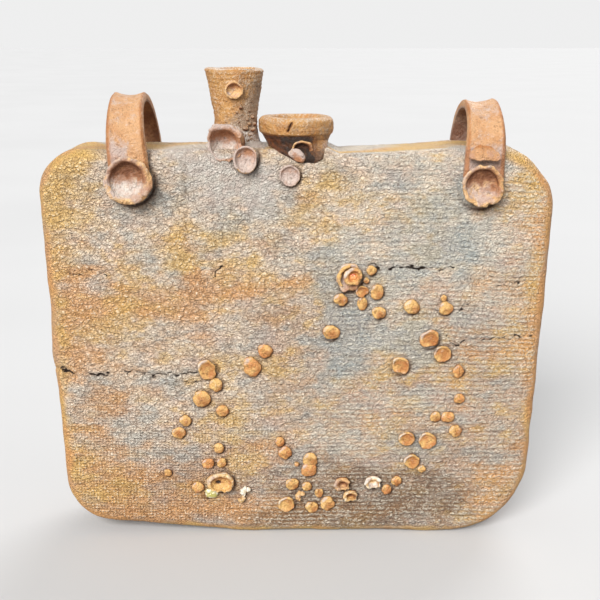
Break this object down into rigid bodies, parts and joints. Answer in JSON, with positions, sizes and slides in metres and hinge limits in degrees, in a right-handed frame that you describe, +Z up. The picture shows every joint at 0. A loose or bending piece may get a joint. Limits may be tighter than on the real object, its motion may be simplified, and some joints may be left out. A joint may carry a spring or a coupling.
{
  "type": "pilgrim flask",
  "caption": "Slab-built satchel-shaped stoneware flask with a tall flared neck, a short rolled-lip neck, strap lugs for a cord, and pressed pellets and cups on its cloth-printed face.",
  "frame": {"origin": "on the flat rest face under the base, half way across the body and half way through its depth", "axes": "+Z up along the necks; -Y out of the printed front face; +X to the right seen from the front"},
  "size_m": [0.2819, 0.0682, 0.2695],
  "materials": {
    "printed_slab": "unglazed stoneware printed with coarse cloth, stained and dry",
    "smooth_strip": "smoothed ochre stoneware, satin and worn",
    "neck_clay": "brown stained stoneware with faint ribs",
    "lug_clay": "stained strap of stoneware, worn ochre on its crests",
    "cup_clay": "rough pressed clay with a pale powdery hollow",
    "pellet_clay": "bright ochre stoneware, rubbed smooth",
    "cream_clay": "cream slip, semi-matt",
    "red_glaze": "glossy red-orange glaze pool",
    "green_glaze": "glossy green-yellow glaze bead"
  },
  "bodies": {
    "root": {"front_slab": "printed_slab", "back_slab": "printed_slab", "base_strip": "smooth_strip", "left_strip": "smooth_strip", "right_strip": "smooth_strip", "shoulder_strip": "smooth_strip", "tall_neck": "neck_clay", "short_neck": "neck_clay", "left_lug": "lug_clay", "right_lug": "lug_clay", "left_lug_cup": "cup_clay", "right_lug_cup": "cup_clay", "right_lug_flap": "lug_clay", "neck_cup": "cup_clay", "foot_dish": "cup_clay", "high_dish": "cup_clay", "neck_crumbs": "neck_clay", "side_dish": "cup_clay", "side_leaf": "pellet_clay", "shoulder_dish": "cup_clay", "crown_plate": "cup_clay", "crown_ring": "pellet_clay", "crown_curl": "pellet_clay", "red_glaze_pool": "red_glaze", "crown_pellets": "pellet_clay", "left_arc_pellets": "pellet_clay", "left_arc_dishes": "pellet_clay", "left_barnacle": "cream_clay", "left_curls": "cup_clay", "green_glaze_bead": "green_glaze", "low_pellets": "pellet_clay", "low_dishes": "pellet_clay", "low_curl": "cup_clay", "upper_pot": "cup_clay", "lower_pot": "cream_clay", "white_cup": "cream_clay", "pot_pellets": "pellet_clay", "right_arc_pellets": "pellet_clay", "right_arc_dishes": "pellet_clay", "limpet": "pellet_clay"}
  },
  "joints": []
}
